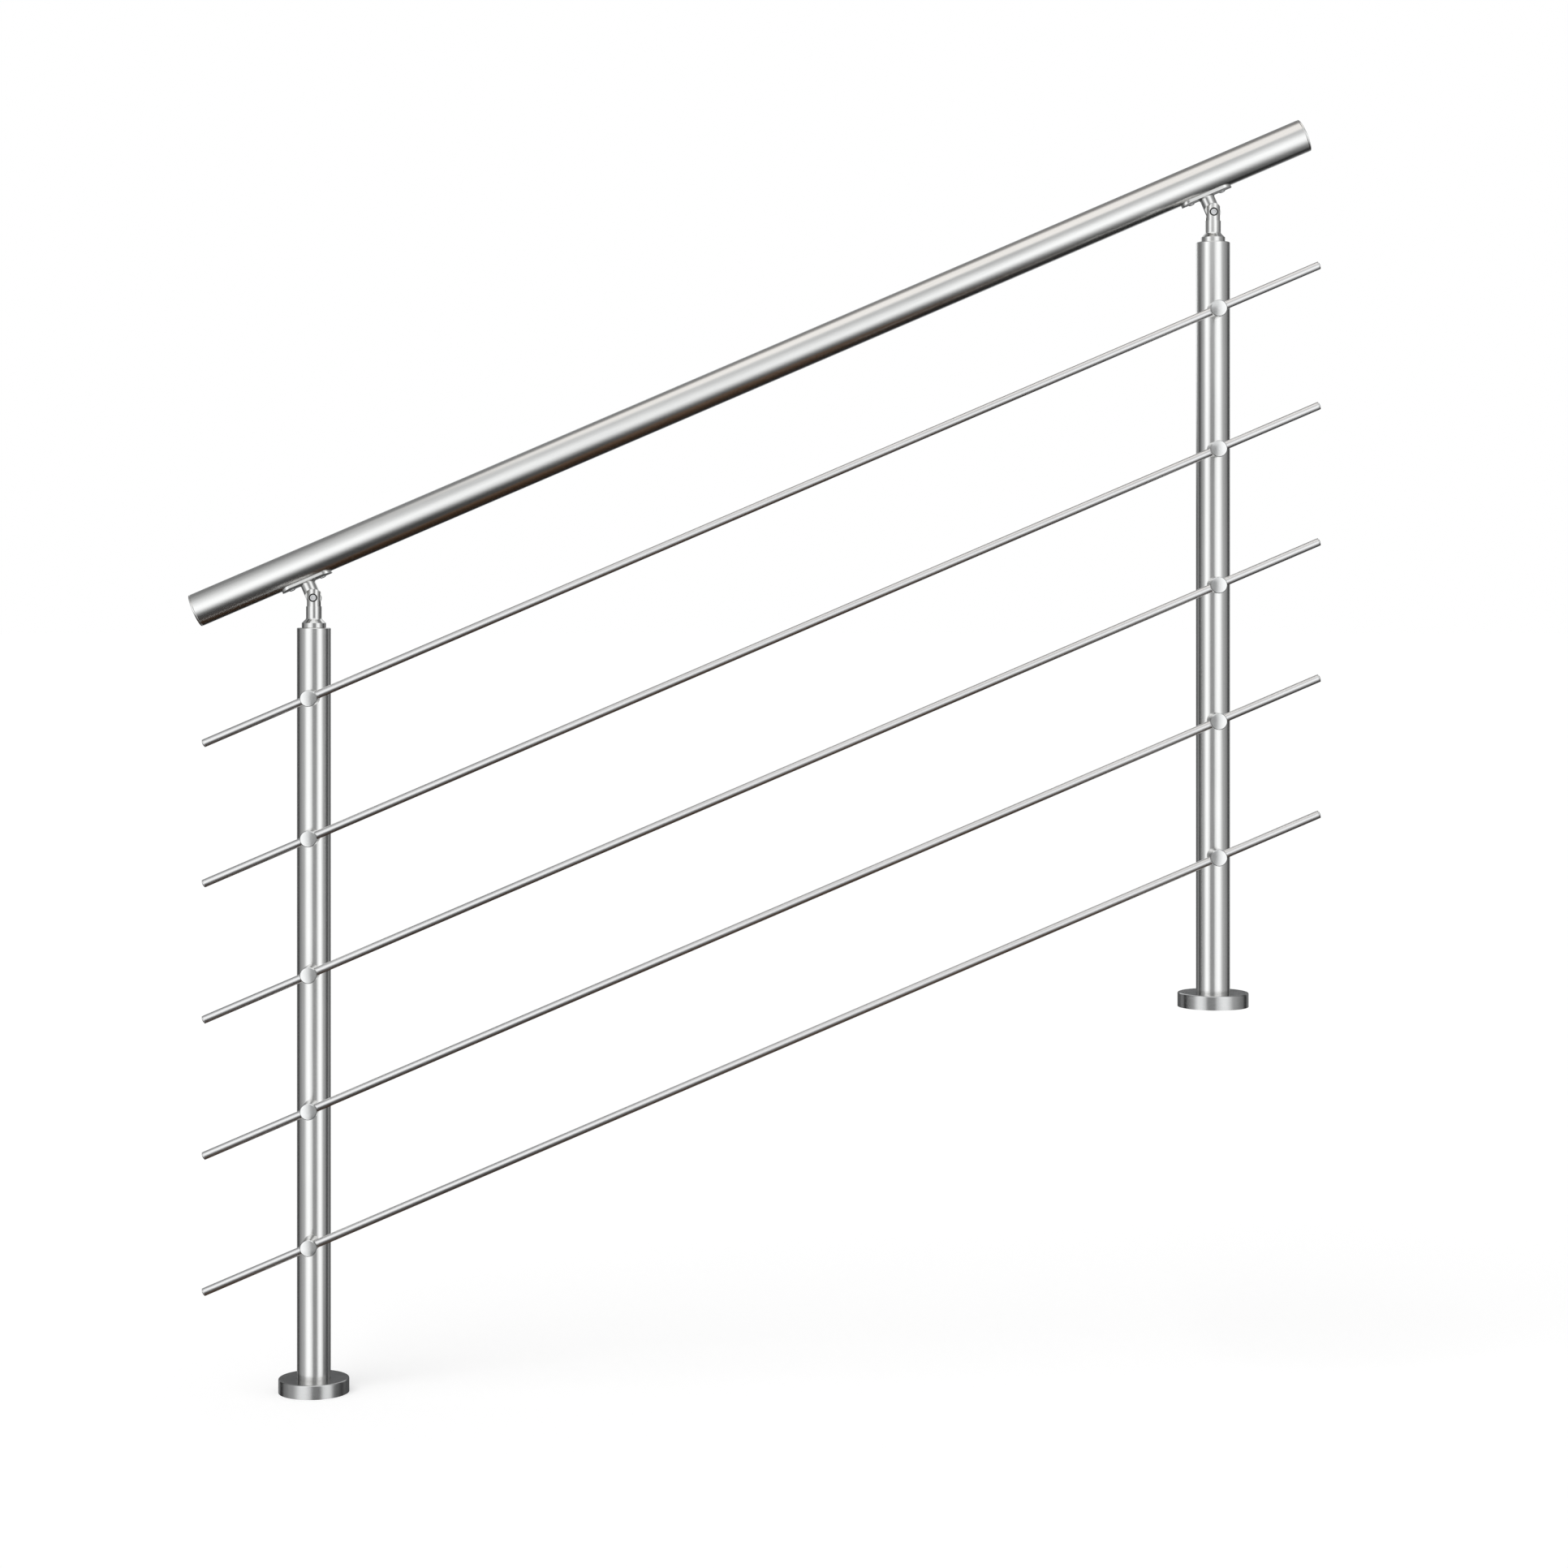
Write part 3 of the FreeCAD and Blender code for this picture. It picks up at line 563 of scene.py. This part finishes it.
def upright_light(graph):
    """Two tall softboxes to either side of the camera with a grey gap between them, a ceiling panel
    over the front half, dark flags at the sides, and a dim floor."""
    tent = Tent(graph)
    flag = graph.math("MULTIPLY", graph.span(tent.bearing, *FLAG_NEAR_EDGE),
                      graph.span(tent.bearing, *FLAG_FAR_EDGE))
    wall = graph.mix(flag, side_lights(graph, tent.bearing, GAP), BLACK_FLAG)
    upper_wall = side_lights(graph, tent.bearing, HIGH_GAP)
    sides = graph.mix(graph.span(tent.height, *UPPER_WALL_EDGE), wall, upper_wall)
    behind = graph.span(tent.north, *BEHIND_CEILING_BACK_SHARE)
    ceiling = graph.mix(behind, CEILING, BEHIND_CEILING)
    above = graph.mix(graph.span(tent.height, *CEILING_EDGE), sides, ceiling)
    low_back = graph.math("MULTIPLY", graph.span(tent.bearing, *LOW_BACK_EDGE),
                          graph.span(tent.height, *LOW_BACK_TOP))
    above = graph.mix(low_back, above, LOW_BACK)
    low_wall = graph.mix(graph.span(tent.bearing, *LOW_SOFTBOX_EDGE), LOW_GAP, LOW_SOFTBOX)
    low_wall = graph.mix(graph.span(tent.bearing, *LOW_SIDE_EDGE), low_wall, REAR_FLOOR)
    floor = graph.mix(graph.span(tent.north, *REAR_FLOOR_BACK_SHARE), FRONT_FLOOR, REAR_FLOOR)
    below = graph.mix(graph.span(tent.height, *FLOOR_EDGE), floor, low_wall)
    return graph.mix(graph.span(tent.height, *LOW_WALL_TOP), below, above), DAYLIGHT


def sloped_light(graph):
    """A broad softbox in front, brightest at the tubes' own height, a warm ceiling panel over the
    front half, and a dark floor that is warm at its sides."""
    tent = Tent(graph)
    rise = graph.span(tent.height, *WIDE_SOFTBOX_RISE)
    front = graph.mix(graph.math("MULTIPLY", rise, rise), DARK_FLOOR, WIDE_SOFTBOX)
    front = graph.mix(graph.span(tent.height, *WIDE_SOFTBOX_FALL), front, WIDE_SOFTBOX_TOP)
    share = graph.mix(graph.span(tent.bearing, *OUTER_EDGE), MIDDLE_SHARE, OUTER_SHARE)
    share = graph.mix(graph.span(tent.bearing, *SIDE_EDGE), share, SIDE_SHARE)
    ceiling = graph.span(tent.height, *WARM_PANEL_EDGE)
    panel = graph.mix(ceiling, graph.math("MULTIPLY", front, share), WARM_PANEL)
    rear_panel = graph.mix(graph.span(tent.north, *REAR_PANEL_BACK_SHARE), REAR_WALL, REAR_PANEL)
    back = graph.mix(graph.span(tent.height, *REAR_WALL_RISE), REAR_DARK, rear_panel)
    level = graph.mix(graph.span(tent.north, *BACK_SHARE), panel, back)
    colour = graph.blend(ceiling, DAYLIGHT, WARM_CEILING)
    low_side = graph.math("MULTIPLY", graph.span(tent.height, *WARM_FLOOR_TOP),
                          graph.span(tent.bearing, *WARM_FLOOR_EDGE))
    colour = graph.blend(low_side, colour, WARM_FLOOR)
    return level, colour


def add_tent(name, radius, light, receivers, see_through):
    """A light tent round the panel that only the reflections of the given pieces see. It gives no
    other light. A see-through one lets the other pieces see past it."""
    segments, rings = TENT_SEGMENTS
    shape = bmesh.new()
    bmesh.ops.create_uvsphere(shape, u_segments=segments, v_segments=rings, radius=radius)
    tent = as_object(shape, name)
    tent.location = (UPPER_PIVOT.x / 2, 0, TENT_HEIGHT)
    for face in tent.data.polygons:
        face.use_smooth = True
    tent.visible_camera = False
    tent.visible_diffuse = False
    tent.visible_transmission = False
    tent.visible_volume_scatter = False
    tent.visible_shadow = False
    material = bpy.data.materials.new(name)
    material.use_nodes = True
    material.cycles.emission_sampling = "NONE"
    graph = Graph(material.node_tree)
    level, colour = light(graph)
    glow = graph.add("ShaderNodeEmission", {"Color": colour, "Strength": level})
    surface = glow.outputs["Emission"]
    if see_through:
        clear = graph.add("ShaderNodeBsdfTransparent").outputs["BSDF"]
        total = graph.add("ShaderNodeAddShader")
        graph.feed(total.inputs[0], surface)
        graph.feed(total.inputs[1], clear)
        surface = total.outputs["Shader"]
    output = graph.add("ShaderNodeOutputMaterial")
    graph.feed(output.inputs["Surface"], surface)
    tent.data.materials.append(material)
    group = bpy.data.collections.new(name + "_receivers")
    for piece in receivers:
        group.objects.link(piece)
    tent.light_linking.receiver_collection = group


def add_tents():
    """One tent for the handrail and the crossbars, and one round it for everything else."""
    sloped = [piece for name, piece in frame["nodes"].items()
              if name.startswith(("handrail", "crossbar")) and not name.endswith("holder")]
    upright = [piece for piece in bpy.context.scene.objects
               if piece.type == "MESH" and piece not in sloped]
    add_tent("sloped_tent", INNER_TENT_RADIUS, sloped_light, sloped, see_through=True)
    add_tent("upright_tent", OUTER_TENT_RADIUS, upright_light, upright, see_through=False)
    for piece in sloped:
        piece.visible_glossy = False


def add_world():
    """White for the camera, for metal and for glass, and an even level for everything else."""
    world = bpy.data.worlds.new("studio")
    bpy.context.scene.world = world
    world.use_nodes = True
    world.cycles.sampling_method = "NONE"
    graph = Graph(world.node_tree)
    strength = graph.mix(seen_white(graph), EVEN_LIGHT, WHITE)
    background = graph.add("ShaderNodeBackground", {"Color": grey(1.0), "Strength": strength})
    output = graph.add("ShaderNodeOutputWorld")
    graph.feed(output.inputs["Surface"], background.outputs["Background"])


def seen_white(graph):
    """1 where the camera looks, straight or by a mirror or a glass, and 0 for every other ray."""
    path = graph.add("ShaderNodeLightPath").outputs
    mirrored = graph.math("MAXIMUM", path["Is Glossy Ray"], path["Is Transmission Ray"])
    return graph.math("MAXIMUM", path["Is Camera Ray"], mirrored)


def add_floor():
    """A plain pale floor that is white where nothing shades it."""
    shape = bmesh.new()
    corners = [shape.verts.new((x * FLOOR_HALF, y * FLOOR_HALF, 0))
               for x, y in ((-1, -1), (1, -1), (1, 1), (-1, 1))]
    shape.faces.new(corners)
    floor = as_object(shape, "floor")
    material = bpy.data.materials.new("pale_floor")
    material.use_nodes = True
    graph = Graph(material.node_tree)
    matt = graph.add("ShaderNodeBsdfDiffuse", {"Color": grey(FLOOR_COLOUR)})
    seen = graph.math("MULTIPLY", seen_white(graph), FLOOR_GLOW)
    glow = graph.add("ShaderNodeEmission", {"Color": grey(1.0), "Strength": seen})
    total = graph.add("ShaderNodeAddShader")
    graph.feed(total.inputs[0], matt.outputs["BSDF"])
    graph.feed(total.inputs[1], glow.outputs["Emission"])
    output = graph.add("ShaderNodeOutputMaterial")
    graph.feed(output.inputs["Surface"], total.outputs["Shader"])
    floor.data.materials.append(material)
    floor.visible_glossy = False


def add_lamp():
    """A large soft lamp far off over the front left, for the floor's shadow."""
    lamp = bpy.data.lights.new("soft_lamp", "SUN")
    lamp.angle = LAMP_ANGLE
    lamp.energy = LAMP_STRENGTH
    holder = bpy.data.objects.new("soft_lamp", lamp)
    bpy.context.scene.collection.objects.link(holder)
    holder.rotation_mode = "QUATERNION"
    holder.rotation_quaternion = Vector(LAMP_AIM).to_track_quat("-Z", "Y")
    holder.visible_glossy = False


def add_camera():
    """The photograph's level view."""
    data = bpy.data.cameras.new("camera")
    data.sensor_width = SENSOR_WIDTH
    data.lens = FOCAL_LENGTH_PX / PHOTO_SIZE * SENSOR_WIDTH
    middle = PHOTO_SIZE / 2
    data.shift_x = (middle - PRINCIPAL_POINT_PX[0]) / PHOTO_SIZE
    data.shift_y = (PRINCIPAL_POINT_PX[1] - middle) / PHOTO_SIZE
    camera = bpy.data.objects.new("camera", data)
    bpy.context.scene.collection.objects.link(camera)
    camera.location = CAMERA_PLACE
    camera.rotation_euler = (math.radians(90), 0, 0)
    bpy.context.scene.camera = camera


bpy.context.scene.view_settings.view_transform = "Standard"
finishes = dress_nodes()
add_saddle_screws(finishes["saddle_screw"])
add_tents()
add_world()
add_floor()
add_lamp()
add_camera()
